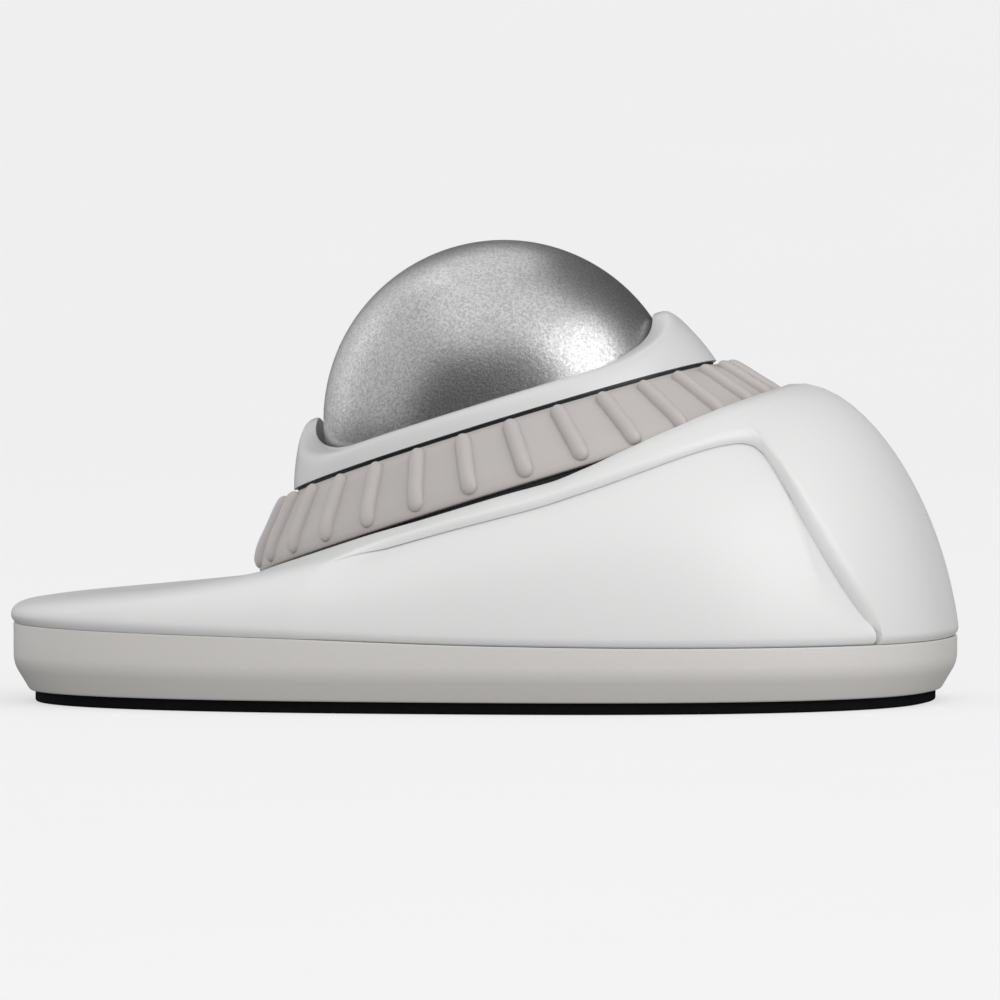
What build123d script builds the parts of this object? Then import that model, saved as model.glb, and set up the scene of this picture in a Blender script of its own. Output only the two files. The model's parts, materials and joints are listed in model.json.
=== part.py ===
"""Finger-operated trackball mouse with a scroll ring around the ball.

Millimetres. The origin is under the middle of the body on the surface it stands on.
+X is the device's right side, -Y is towards the user, +Y is the far end, +Z is up.
The ball, collar, scroll ring and cup share one axis, tilted towards the user.
"""
import os
from math import cos, pi, radians, sin

from build123d import *

os.makedirs("parts", exist_ok=True)

# driving dimensions
ball_radius = 20.0
core_radius = 17.0
core_gap = 0.2
ball_centre = (0.0, 2.0, 31.0)
ring_tilt = 17.3
body_half_width = 42.5
body_half_length = 52.0
wall = 2.0
running_gap = 0.3

# levels above the surface the device stands on
foot_height = 1.3
tray_floor = 3.3
tray_waist = 4.3
tray_ledge = 6.3
skirt_bottom = 7.3
rim_top = 8.6
pad_top = 4.6
board_bottom = 4.9
board_top = 6.1

# plan outlines: half width, front reach, back reach, squareness
skirt_outline = (body_half_width, body_half_length, body_half_length, 2.5)
waist_outline = (40.6, 49.0, 48.6, 2.4)
waist_centre = (0.0, 0.0, 15.6)
waist_tilt = 7.0
deck_outline = (33.8, 33.6, 36.6, 2.0)
deck_centre = (0.0, 4.0, 24.5)
deck_tilt = 20.2
outline_points = 24

# insets of the tray's faces from the skirt's outline
band_inset = 0.35
underside_inset = 2.0
strip_inset = (2.5, 4.9)
rim_inset = 3.4
tray_inner_inset = 4.6
rim_clearance = (0.6, 1.2)

# well, scroll ring and its code skirt, in radius and height from the ball's centre
well_radius = 31.3
well_wall_radius = 32.7
well_bottom = -11.0
ring_bore = 23.8
ring_outer = 30.7
ring_bottom = -10.1
ring_face = ((24.4, -1.0), (25.9, -1.8), (26.9, -2.8), (30.1, -6.5), (30.7, -8.2))
ring_hollow = ((29.0, -8.4), (25.3, -4.2))
rib_face = ((25.5, -1.5), (26.0, -1.3), (27.2, -2.3), (30.5, -6.2), (30.9, -7.4), (30.5, -7.8))
rib_count = 30
rib_angle = 4.0
code_skirt = (29.1, 29.9)
code_bottom = -14.0
slot_count = 60
slot_width = 0.9
slot_height = 2.4

# collar round the ball
collar_bore = 20.5
collar_sleeve = 23.7
collar_bottom = -10.35
collar_wall = ((24.2, -0.6), (23.6, 1.6), (22.8, 3.4), (21.8, 5.2), (20.7, 6.2))
collar_lip_angle = 18.0
channel_floor = (1.7, 3.35)
channel_half_width = 20.35
channel_corner = 1.8
channel_height = 8.0

# cup under the ball
cup_inner = 20.6
cup_outer = 22.6
cup_edge = -10.4
flange_radius = 28.4
flange_bottom = -12.4
flange_middle = -11.4
sensor_hole = 4.8
bearing_radius = 1.25
bearing_gap = 0.05
bearing_drop = 42.0
bearing_count = 3
quarter_turn = 90
cup_legs = ((24.5, 8.0), (-24.5, 8.0), (0.0, -17.0))
leg_radius = 2.2

# side buttons: their upper edge in the side view, from the root to the back corner
button_edge = ((-18.0, 13.0), (-9.9, 15.9), (-1.7, 18.8), (4.8, 20.5), (19.9, 24.6), (31.1, 28.6))
button_corner = ((34.9, 29.2), (38.8, 26.6))
button_back = (49.2, 7.3)
button_gap = 0.5
button_inner_edge = 18.0
button_outer_edge = 60.0
tab_width = 2.4
tab_level = (13.4, 15.4)
tab_reach = 31.0

# micro switches under the buttons
switch_place = (32.2, 13.4)
switch_size = (5.8, 12.8, 6.5)
plunger_size = (2.6, 1.2, 1.6)
plunger_gap = 0.12
plunger_well = 2.2
plunger_side_gap = 0.1

# battery bay, one AA cell lying across the body
cell_radius = 7.25
cell_length = 49.5
nub_radius = 2.75
nub_length = 1.0
cell_place = (28.5, 11.1)
bay_size = (55.8, 15.6)
bay_top = 9.0
bay_wall = 1.1
door_size = (53.2, 15.0, 1.7)
door_level = 1.5
door_corner = 1.0
grip_count = 7
grip_pitch = 2.0
grip_width = 0.8
grip_depth = 0.4
contact_thickness = 0.4
contact_size = (9.0, 7.0)
contact_level = 8.0
spring_radius = 3.2

# radio receiver in its pocket
receiver_y = -36.5
receiver_cap_size = (8.0, 14.0, 5.2)
receiver_plug_size = (12.2, 12.0, 4.5)
receiver_level = 1.7
receiver_gap = 0.3
cap_corner = 1.0
pocket_wall = 1.1
pocket_top = 8.2

# fasteners
shell_screws = ((24.0, -33.0), (-24.0, -33.0), (13.0, 42.3), (-13.0, 42.3))
screw_head = (2.0, 1.3)
drive_sides = 6
screw_radius = 0.95
screw_length = 6.0
screw_seat = 1.7
counterbore = 2.25
pilot_radius = 0.95
pilot_depth = 4.8
boss_radius = 2.3
boss_clearance = 2.6
pad_radius = 3.4
board_screws = ((30.0, -7.0), (-30.0, -7.0), (22.0, -22.0), (-22.0, -22.0))
board_screw_head = (1.7, 1.0)
board_screw_radius = 0.75
board_screw_depth = 3.6
standoff_radius = 2.4

# board and what stands on it
board_main = (70.8, 31.0)
board_main_y = 3.7
board_front = (54.0, 16.0)
board_front_y = -18.0
board_corner = 2.0
leg_hole = 2.6
sensor_chip_size = (9.6, 10.6, 1.6)
lens_base = (8.0, 8.0, 0.5)
lens_radius = 3.4
lens_height = 1.6
led_place = (0.0, -9.0)
led_radius = 1.5
led_height = 1.4
controller_place = (14.5, -4.0)
controller_size = (9.0, 9.0, 1.1)
radio_place = (-15.0, -4.0)
radio_size = (11.0, 15.0, 1.8)
gate_y = -22.35
gate_size = (6.0, 5.6, 2.0)
gate_slot = (2.5, 0.6)
gate_arms = (10.2, 10.8)

# controls on the underside
slider_place = (-12.0, -22.0)
slider_knob = (3.0, 2.6)
slider_stem = (1.6, 1.4)
slider_flange = (4.4, 3.8)
slider_travel = 3.0
slider_level = 0.9
power_switch_size = (9.0, 4.4, 2.6)
power_switch_lift = 0.15
connect_place = (12.0, -22.0)
connect_radius = 1.9
connect_flange = 2.6
connect_level = 0.9
flange_level = (3.4, 3.9)
dome_level = 4.45

axis_y = -sin(radians(ring_tilt))
axis_z = cos(radians(ring_tilt))
ring_axis = Axis(ball_centre, (0, axis_y, axis_z))


def section_at(degrees):
    """Half plane through the ring axis: x is the radius, y the height along the axis."""
    turn = radians(degrees)
    outward = (cos(turn), sin(turn) * axis_z, -sin(turn) * axis_y)
    square = (sin(turn), -cos(turn) * axis_z, cos(turn) * axis_y)
    return Plane(origin=ball_centre, x_dir=outward, z_dir=square)


def ring_plane(height):
    """Plane square to the ring axis at a height above the ball's centre."""
    x, y, z = ball_centre
    origin = (x, y + height * axis_y, z + height * axis_z)
    return Plane(origin=origin, x_dir=(1, 0, 0), z_dir=(0, axis_y, axis_z))


def tilted_plane(centre, tilt):
    """Plane tilted about X, its far end up."""
    turn = radians(tilt)
    return Plane(origin=centre, x_dir=(1, 0, 0), z_dir=(0, -sin(turn), cos(turn)))


def level_on_axis_plane(y, height):
    """World height, at a given y, of the plane square to the ring axis."""
    return ball_centre[2] + (height - (y - ball_centre[1]) * axis_y) / axis_z


def squared_oval(outline, inset):
    """Points of a squared oval whose front and back reach differ."""
    half_width, front, back, squareness = outline
    power = 2 / squareness
    points = []
    for step in range(outline_points):
        across = cos(2 * pi * step / outline_points)
        along = sin(2 * pi * step / outline_points)
        reach = back if along > 0 else front
        x = (half_width - inset) * abs(across) ** power
        y = (reach - inset) * abs(along) ** power
        points.append((x if across > 0 else -x, y if along > 0 else -y))
    return points


def save(part, name):
    """Label a finished piece and write it."""
    part.label = name
    export_step(part, f"parts/{name}.step")


def envelope(inset, drop):
    """Form of the upper shell lofted through skirt, waist and deck, inset and lowered."""
    levels = (
        (Plane.XY.offset(skirt_bottom - drop), skirt_outline),
        (tilted_plane(waist_centre, waist_tilt).offset(-drop), waist_outline),
        (tilted_plane(deck_centre, deck_tilt).offset(-drop), deck_outline),
    )
    with BuildPart() as form:
        for plane, outline in levels:
            with BuildSketch(plane):
                with BuildLine():
                    Spline(*squared_oval(outline, inset), periodic=True)
                make_face()
        loft()
    return form.part


def button_zone(side, growth):
    """Column through the body that holds one side button, grown by the gap round it."""
    edge = [(y - growth, z + growth) for y, z in button_edge[:1]]
    edge += [(y, z + growth) for y, z in button_edge[1:]]
    corner_top, corner_back = button_corner
    top = (corner_top[0], corner_top[1] + growth)
    back = (corner_back[0] + growth, corner_back[1] + growth)
    low = (button_back[0] + growth, button_back[1] + growth)
    floor = tray_ledge - growth
    inner = button_inner_edge - growth
    with BuildPart() as zone:
        with BuildSketch(Plane.YZ.offset(side * inner)):
            with BuildLine():
                Spline(*edge)
                ThreePointArc(edge[-1], top, back)
                Polyline(back, low, (low[0], floor), (edge[0][0], floor), edge[0])
            make_face()
        extrude(amount=side * (button_outer_edge - inner))
    return zone.part


outer_form = envelope(0, 0)
inner_form = envelope(wall, wall)
rim_form = envelope(wall + rim_clearance[0], wall + rim_clearance[1])

# ---- ball: a heavy core inside a polished shell ----
with BuildPart() as trackball_core:
    with Locations(ball_centre):
        Sphere(core_radius)
save(trackball_core.part, "trackball_core")

with BuildPart() as trackball_shell:
    with Locations(ball_centre):
        Sphere(ball_radius)
        Sphere(core_radius + core_gap, mode=Mode.SUBTRACT)
save(trackball_shell.part, "trackball_shell")

# ---- scroll ring: a conical cap on a bearing sleeve, ribbed on its face ----
with BuildPart() as scroll_ring:
    with BuildSketch(section_at(0)):
        with BuildLine():
            Polyline(
                (ring_bore, ring_face[0][1] - running_gap),
                *ring_face,
                (ring_outer, ring_bottom),
                (ring_hollow[0][0], ring_bottom),
                *ring_hollow,
                (ring_hollow[1][0], ring_bottom),
                (ring_bore, ring_bottom),
                close=True,
            )
        make_face()
    revolve(axis=ring_axis)
    for rib in range(rib_count):
        with BuildSketch(section_at(360 * rib / rib_count - rib_angle / 2)):
            with BuildLine():
                Polyline(*rib_face, close=True)
            make_face()
        revolve(axis=ring_axis, revolution_arc=rib_angle)
save(scroll_ring.part, "scroll_ring")

with BuildPart() as ring_code_skirt:
    with BuildSketch(ring_plane(code_bottom)):
        Circle(code_skirt[1])
        Circle(code_skirt[0], mode=Mode.SUBTRACT)
    extrude(amount=ring_bottom - code_bottom)
    with BuildSketch(ring_plane(code_bottom)):
        with PolarLocations(sum(code_skirt) / 2, slot_count):
            Rectangle(2 * (code_skirt[1] - code_skirt[0]), slot_width)
    extrude(amount=slot_height, mode=Mode.SUBTRACT)
save(ring_code_skirt.part, "ring_code_skirt")

# ---- collar: a sleeve whose rim stands up in ears at the front and the back ----
with BuildPart() as ball_collar:
    foot_radius, foot_level = collar_wall[0]
    with BuildSketch(section_at(0)):
        with BuildLine():
            inside = CenterArc((0, 0), collar_bore, 0, collar_lip_angle)
            Spline(*collar_wall, inside @ 1)
            Polyline(
                collar_wall[0],
                (foot_radius, foot_level - running_gap),
                (collar_sleeve, foot_level - running_gap),
                (collar_sleeve, collar_bottom),
                (collar_bore, collar_bottom),
                inside @ 0,
            )
        make_face()
    revolve(axis=ring_axis)
    middle_floor, side_floor = channel_floor
    with BuildSketch(Plane(origin=ball_centre, x_dir=(0, axis_z, -axis_y), z_dir=(1, 0, 0))) as channel:
        with BuildLine():
            ThreePointArc(
                (-channel_half_width, side_floor), (0, middle_floor), (channel_half_width, side_floor)
            )
            Polyline(
                (channel_half_width, side_floor),
                (channel_half_width, channel_height),
                (-channel_half_width, channel_height),
                (-channel_half_width, side_floor),
            )
        make_face()
        fillet(channel.vertices().group_by(Axis.Z)[0], channel_corner)
    extrude(amount=body_half_width, both=True, mode=Mode.SUBTRACT)
save(ball_collar.part, "ball_collar")

# ---- cup under the ball with its bearings ----
with BuildPart() as bearing_balls:
    with Locations(ring_plane(-(ball_radius + bearing_gap + bearing_radius) * sin(radians(bearing_drop)))):
        with PolarLocations(
            (ball_radius + bearing_gap + bearing_radius) * cos(radians(bearing_drop)),
            bearing_count,
            quarter_turn,
        ):
            Sphere(bearing_radius)
save(bearing_balls.part, "support_bearings")

with BuildPart() as ball_cup:
    with Locations(ball_centre):
        Sphere(cup_outer)
        Sphere(cup_inner, mode=Mode.SUBTRACT)
    with BuildSketch(ring_plane(cup_edge)):
        Circle(body_half_width)
    extrude(amount=body_half_width, mode=Mode.SUBTRACT)
    with BuildSketch(ring_plane(flange_bottom)):
        Circle(flange_radius)
    extrude(amount=cup_edge - flange_bottom)
    with Locations(ball_centre):
        Sphere(cup_inner, mode=Mode.SUBTRACT)
    for x, y in cup_legs:
        with BuildSketch(Plane.XY.offset(pad_top)):
            with Locations((x, y)):
                Circle(leg_radius)
        extrude(amount=level_on_axis_plane(y, flange_middle) - pad_top)
    with BuildSketch(Plane.XY.offset(pad_top)):
        with Locations(*cup_legs):
            Circle(pilot_radius)
    extrude(amount=screw_length, mode=Mode.SUBTRACT)
    with BuildSketch(Plane.XY.offset(tray_floor)):
        with Locations(ball_centre[:2]):
            Circle(sensor_hole)
    extrude(amount=ball_radius, mode=Mode.SUBTRACT)
    add(bearing_balls.part, mode=Mode.SUBTRACT)
save(ball_cup.part, "ball_cup")

# ---- upper shell: skin, well wall and screw bosses ----
with BuildPart() as top_shell:
    add(outer_form)
    add(inner_form, mode=Mode.SUBTRACT)
    with BuildSketch(ring_plane(well_bottom)):
        Circle(well_wall_radius)
    extrude(amount=-well_bottom)
    with BuildSketch(Plane.XY.offset(skirt_bottom)):
        with Locations(*shell_screws):
            Circle(boss_radius)
    extrude(amount=body_half_width)
    add(outer_form, mode=Mode.INTERSECT)
    for side in (1, -1):
        add(button_zone(side, button_gap), mode=Mode.SUBTRACT)
    with BuildSketch(ring_plane(2 * well_bottom)):
        Circle(well_radius)
    extrude(amount=-4 * well_bottom, mode=Mode.SUBTRACT)
    with BuildSketch(Plane.XY.offset(pad_top)):
        with Locations(*shell_screws):
            Circle(boss_radius)
    extrude(amount=skirt_bottom - pad_top)
    with BuildSketch(Plane.XY.offset(pad_top)):
        with Locations(*shell_screws):
            Circle(pilot_radius)
    extrude(amount=pilot_depth, mode=Mode.SUBTRACT)
save(top_shell.part, "top_shell")

# ---- side buttons: flexing panels of the shell with a tab over each switch ----
for side, name in ((1, "right_button"), (-1, "left_button")):
    with BuildPart() as button:
        add(outer_form)
        add(inner_form, mode=Mode.SUBTRACT)
        with BuildSketch(Plane.XY.offset(tab_level[0])):
            with Locations((side * (tab_reach + body_half_width) / 2, switch_place[1])):
                Rectangle(body_half_width - tab_reach, tab_width)
        extrude(amount=tab_level[1] - tab_level[0])
        add(outer_form, mode=Mode.INTERSECT)
        add(button_zone(side, 0), mode=Mode.INTERSECT)
        with BuildSketch(ring_plane(well_bottom - button_gap)):
            Circle(well_wall_radius + button_gap)
        extrude(amount=ball_radius, mode=Mode.SUBTRACT)
    save(button.part, name)

# ---- base tray: floor, band, rim, bay, pocket and screw pads ----
bay_y = cell_place[0]
pocket_length = receiver_cap_size[0] + receiver_plug_size[0] + 2 * receiver_gap
pocket_width = receiver_cap_size[1] + 2 * receiver_gap
all_pads = shell_screws + cup_legs

with BuildPart() as rim:
    with BuildSketch(Plane.XY.offset(tray_ledge)):
        for inset, mode in ((rim_inset, Mode.ADD), (tray_inner_inset, Mode.SUBTRACT)):
            with BuildLine():
                Spline(*squared_oval(skirt_outline, inset), periodic=True)
            make_face(mode=mode)
    extrude(amount=rim_top - tray_ledge)
    add(rim_form, mode=Mode.INTERSECT)

with BuildPart() as base_tray:
    for z, inset in ((foot_height, underside_inset), (tray_waist, band_inset)):
        with BuildSketch(Plane.XY.offset(z)):
            with BuildLine():
                Spline(*squared_oval(skirt_outline, inset), periodic=True)
            make_face()
    loft()
    with BuildSketch(Plane.XY.offset(tray_waist)):
        with BuildLine():
            Spline(*squared_oval(skirt_outline, band_inset), periodic=True)
        make_face()
    extrude(amount=tray_ledge - tray_waist)
    with BuildSketch(Plane.XY.offset(tray_floor)):
        with BuildLine():
            Spline(*squared_oval(skirt_outline, tray_inner_inset), periodic=True)
        make_face()
    extrude(amount=rim_top, mode=Mode.SUBTRACT)
    add(rim.part)
    with BuildSketch(Plane.XY.offset(foot_height)):
        with Locations((0, bay_y)):
            Rectangle(bay_size[0] + 2 * bay_wall, bay_size[1] + 2 * bay_wall)
    extrude(amount=bay_top - foot_height)
    with BuildSketch(Plane.XY.offset(foot_height)):
        with Locations((0, receiver_y)):
            Rectangle(pocket_length + 2 * pocket_wall, pocket_width + 2 * pocket_wall)
    extrude(amount=pocket_top - foot_height)
    with BuildSketch(Plane.XY.offset(foot_height)):
        with Locations(*all_pads):
            Circle(pad_radius)
    extrude(amount=pad_top - foot_height)
    with BuildSketch(Plane.XY.offset(pad_top)):
        with Locations(*shell_screws):
            Circle(boss_clearance)
    extrude(amount=rim_top, mode=Mode.SUBTRACT)
    with BuildSketch(Plane.XY.offset(foot_height)):
        with Locations(*board_screws):
            Circle(standoff_radius)
    extrude(amount=board_bottom - foot_height)
    with BuildSketch(Plane.XY):
        with Locations((0, bay_y)):
            Rectangle(bay_size[0], bay_size[1])
    extrude(amount=bay_top, mode=Mode.SUBTRACT)
    with BuildSketch(Plane.XY):
        with Locations((0, receiver_y)):
            Rectangle(pocket_length, pocket_width)
    extrude(amount=pocket_top - pocket_wall, mode=Mode.SUBTRACT)
    with BuildSketch(Plane.XY):
        with Locations(*all_pads):
            Circle(counterbore)
    extrude(amount=screw_seat + screw_head[1], mode=Mode.SUBTRACT)
    with BuildSketch(Plane.XY):
        with Locations(*all_pads):
            Circle(pilot_radius)
    extrude(amount=pad_top, mode=Mode.SUBTRACT)
    with BuildSketch(Plane.XY.offset(board_bottom - board_screw_depth + running_gap)):
        with Locations(*board_screws):
            Circle(board_screw_radius)
    extrude(amount=board_screw_depth, mode=Mode.SUBTRACT)
    with BuildSketch(Plane.XY):
        with Locations(slider_place):
            SlotOverall(
                slider_knob[0] + slider_travel + slider_knob[1] + running_gap,
                slider_knob[1] + running_gap,
            )
        with Locations(connect_place):
            Circle(connect_radius + running_gap / 2)
    extrude(amount=tray_floor, mode=Mode.SUBTRACT)
save(base_tray.part, "base_tray")

with BuildPart() as foot_strip:
    with BuildSketch(Plane.XY):
        for inset, mode in zip(strip_inset, (Mode.ADD, Mode.SUBTRACT)):
            with BuildLine():
                Spline(*squared_oval(skirt_outline, inset), periodic=True)
            make_face(mode=mode)
    extrude(amount=foot_height)
save(foot_strip.part, "foot_strip")

# ---- battery bay: cell, contacts and the door under it ----
with BuildPart() as battery_door:
    with BuildSketch(Plane.XY.offset(door_level)):
        with Locations((0, bay_y)):
            RectangleRounded(door_size[0], door_size[1], door_corner)
    extrude(amount=door_size[2])
    with BuildSketch(Plane.XY.offset(door_level)):
        with GridLocations(grip_pitch, 0, grip_count, 1):
            with Locations((0, bay_y)):
                Rectangle(grip_width, door_size[1] / 2)
    extrude(amount=grip_depth, mode=Mode.SUBTRACT)
save(battery_door.part, "battery_door")

with BuildPart() as battery:
    with BuildSketch(Plane.YZ.offset(-cell_length / 2)):
        with Locations(cell_place):
            Circle(cell_radius)
    extrude(amount=cell_length)
    with BuildSketch(Plane.YZ.offset(cell_length / 2)):
        with Locations(cell_place):
            Circle(nub_radius)
    extrude(amount=nub_length)
save(battery.part, "battery")

with BuildPart() as battery_spring:
    with BuildSketch(Plane.YZ.offset(-bay_size[0] / 2 + contact_thickness)):
        with Locations(cell_place):
            Circle(spring_radius)
            Circle(spring_radius - contact_thickness, mode=Mode.SUBTRACT)
    extrude(amount=(bay_size[0] - cell_length) / 2 - contact_thickness)
save(battery_spring.part, "battery_spring")

with BuildPart() as battery_contacts:
    for side in (1, -1):
        with BuildSketch(Plane.YZ.offset(side * bay_size[0] / 2)):
            with Locations((bay_y, contact_level)):
                Rectangle(*contact_size)
        extrude(amount=-side * contact_thickness)
    with BuildSketch(Plane.YZ.offset(bay_size[0] / 2 - contact_thickness)):
        with Locations(cell_place):
            Circle(nub_radius)
    extrude(amount=cell_length / 2 + nub_length - bay_size[0] / 2 + contact_thickness)
save(battery_contacts.part, "battery_contacts")

# ---- radio receiver stored in its pocket ----
cap_length, cap_width, cap_height = receiver_cap_size
plug_length, plug_width, plug_height = receiver_plug_size
receiver_middle = receiver_level + cap_height / 2
plug_start = pocket_length / 2 - receiver_gap - cap_length

with BuildPart() as receiver_cap:
    with BuildSketch(Plane.YZ.offset(plug_start)):
        with Locations((receiver_y, receiver_middle)):
            RectangleRounded(cap_width, cap_height, cap_corner)
    extrude(amount=cap_length)
save(receiver_cap.part, "receiver_cap")

with BuildPart() as receiver_plug:
    with BuildSketch(Plane.YZ.offset(plug_start)):
        with Locations((receiver_y, receiver_middle)):
            Rectangle(plug_width, plug_height)
    extrude(amount=-plug_length)
    with BuildSketch(Plane.YZ.offset(plug_start - plug_length)):
        with Locations((receiver_y, receiver_middle + plug_height / 4)):
            Rectangle(plug_width - 2 * contact_thickness, plug_height / 2 - 2 * contact_thickness)
    extrude(amount=plug_length - 2 * contact_thickness, mode=Mode.SUBTRACT)
save(receiver_plug.part, "receiver_plug")

# ---- circuit board and what it carries ----
with BuildPart() as main_board:
    with BuildSketch(Plane.XY.offset(board_bottom)):
        with Locations((0, board_main_y)):
            RectangleRounded(board_main[0], board_main[1], board_corner)
        with Locations((0, board_front_y)):
            RectangleRounded(board_front[0], board_front[1], board_corner)
        with Locations(*cup_legs):
            Circle(leg_hole, mode=Mode.SUBTRACT)
        with Locations(*board_screws):
            Circle(board_screw_radius, mode=Mode.SUBTRACT)
        with Locations(slider_place):
            SlotOverall(
                slider_stem[0] + slider_stem[1] + slider_travel + running_gap,
                slider_stem[1] + running_gap,
                mode=Mode.SUBTRACT,
            )
    extrude(amount=board_top - board_bottom)
save(main_board.part, "main_board")


def block_on_board(name, place, size, level):
    """Rectangular package standing on the board or on what is already there."""
    with BuildPart() as block:
        with BuildSketch(Plane.XY.offset(level)):
            with Locations(place):
                Rectangle(size[0], size[1])
        extrude(amount=size[2])
    save(block.part, name)


ball_y = ball_centre[1]
block_on_board("controller_chip", controller_place, controller_size, board_top)
block_on_board("radio_module", radio_place, radio_size, board_top)
block_on_board("sensor_chip", (0, ball_y), sensor_chip_size, board_top)

with BuildPart() as sensor_lens:
    with BuildSketch(Plane.XY.offset(board_top + sensor_chip_size[2])):
        with Locations((0, ball_y)):
            Rectangle(lens_base[0], lens_base[1])
    extrude(amount=lens_base[2])
    with BuildSketch(Plane.XY.offset(board_top + sensor_chip_size[2] + lens_base[2])):
        with Locations((0, ball_y)):
            Circle(lens_radius)
    extrude(amount=lens_height)
save(sensor_lens.part, "sensor_lens")

with BuildPart() as sensor_led:
    with BuildSketch(Plane.XY.offset(board_top)):
        with Locations(led_place):
            Circle(led_radius)
    extrude(amount=led_height)
    with Locations((*led_place, board_top + led_height)):
        Sphere(led_radius, arc_size1=0)
save(sensor_led.part, "sensor_led")

with BuildPart() as ring_light_gate:
    base_x, base_y, base_z = gate_size
    inner_top, outer_top = gate_arms
    with BuildSketch(Plane.XY.offset(board_top)):
        with Locations((0, gate_y)):
            Rectangle(base_x, base_y)
    extrude(amount=outer_top - board_top)
    with BuildSketch(Plane.XY.offset(board_top + base_z)):
        with Locations((0, gate_y + gate_slot[1])):
            Rectangle(base_x, gate_slot[0])
    extrude(amount=outer_top, mode=Mode.SUBTRACT)
    with BuildSketch(Plane.XY.offset(inner_top)):
        with Locations((0, gate_y + base_y / 2)):
            Rectangle(base_x, base_y)
    extrude(amount=outer_top, mode=Mode.SUBTRACT)
save(ring_light_gate.part, "ring_light_gate")

plunger_top = tab_level[0] - plunger_gap
switch_top = board_top + switch_size[2]

for side, word in ((1, "right"), (-1, "left")):
    with BuildPart() as micro_switch:
        with BuildSketch(Plane.XY.offset(board_top)):
            with Locations((side * switch_place[0], switch_place[1])):
                Rectangle(switch_size[0], switch_size[1])
        extrude(amount=switch_size[2])
        with BuildSketch(Plane.XY.offset(switch_top)):
            with Locations((side * switch_place[0], switch_place[1])):
                Rectangle(
                    plunger_size[0] + 2 * plunger_side_gap, plunger_size[1] + 2 * plunger_side_gap
                )
        extrude(amount=-plunger_well, mode=Mode.SUBTRACT)
    save(micro_switch.part, f"{word}_switch")

    with BuildPart() as plunger:
        with BuildSketch(Plane.XY.offset(plunger_top)):
            with Locations((side * switch_place[0], switch_place[1])):
                Rectangle(plunger_size[0], plunger_size[1])
        extrude(amount=-plunger_size[2])
    save(plunger.part, f"{word}_plunger")

# ---- power slider and connect button on the underside ----
with BuildPart() as power_slider:
    start = (slider_place[0] - slider_travel / 2, slider_place[1])
    with BuildSketch(Plane.XY.offset(slider_level)):
        with Locations(start):
            SlotOverall(slider_knob[0] + slider_knob[1], slider_knob[1])
    extrude(amount=flange_level[0] - slider_level)
    with BuildSketch(Plane.XY.offset(flange_level[0])):
        with Locations(start):
            Rectangle(slider_knob[0] + slider_flange[0], slider_flange[1])
    extrude(amount=flange_level[1] - flange_level[0])
    with BuildSketch(Plane.XY.offset(flange_level[1])):
        with Locations(start):
            SlotOverall(slider_stem[0] + slider_stem[1], slider_stem[1])
    extrude(amount=board_top - flange_level[1])
save(power_slider.part, "power_slider")

block_on_board("power_switch", slider_place, power_switch_size, board_top + power_switch_lift)

with BuildPart() as connect_button:
    with BuildSketch(Plane.XY.offset(connect_level)):
        with Locations(connect_place):
            Circle(connect_radius)
    extrude(amount=flange_level[0] - connect_level)
    with BuildSketch(Plane.XY.offset(flange_level[0])):
        with Locations(connect_place):
            Circle(connect_flange)
    extrude(amount=flange_level[1] - flange_level[0])
save(connect_button.part, "connect_button")

with BuildPart() as connect_dome:
    with BuildSketch(Plane.XY.offset(dome_level)):
        with Locations(connect_place):
            Circle(connect_flange)
    extrude(amount=board_bottom - dome_level)
save(connect_dome.part, "connect_dome")

# ---- fasteners ----


def screw_group(name, places, seat, head, shank_radius, length, driven_up):
    """Pan head screws, driven up from below the tray or down into it."""
    way = 1 if driven_up else -1
    with BuildPart() as group:
        with BuildSketch(Plane.XY.offset(seat)):
            with Locations(*places):
                Circle(head[0])
        extrude(amount=way * head[1])
        with BuildSketch(Plane.XY.offset(seat)):
            with Locations(*places):
                RegularPolygon(head[0] / 2, drive_sides)
        extrude(amount=way * head[1] / 2, mode=Mode.SUBTRACT)
        with BuildSketch(Plane.XY.offset(seat + way * head[1])):
            with Locations(*places):
                Circle(shank_radius)
        extrude(amount=way * length)
    save(group.part, name)


screw_group("shell_screws", shell_screws, screw_seat, screw_head, screw_radius, screw_length, True)
screw_group("cup_screws", cup_legs, screw_seat, screw_head, screw_radius, screw_length, True)
board_head_top = board_top + board_screw_head[1]
screw_group(
    "board_screws", board_screws, board_head_top, board_screw_head,
    board_screw_radius, board_screw_depth - running_gap, False,
)
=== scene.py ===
# Trackball mouse with a scroll ring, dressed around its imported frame.
import json
import math

import bmesh
import bpy
from mathutils import Matrix, Vector


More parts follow.
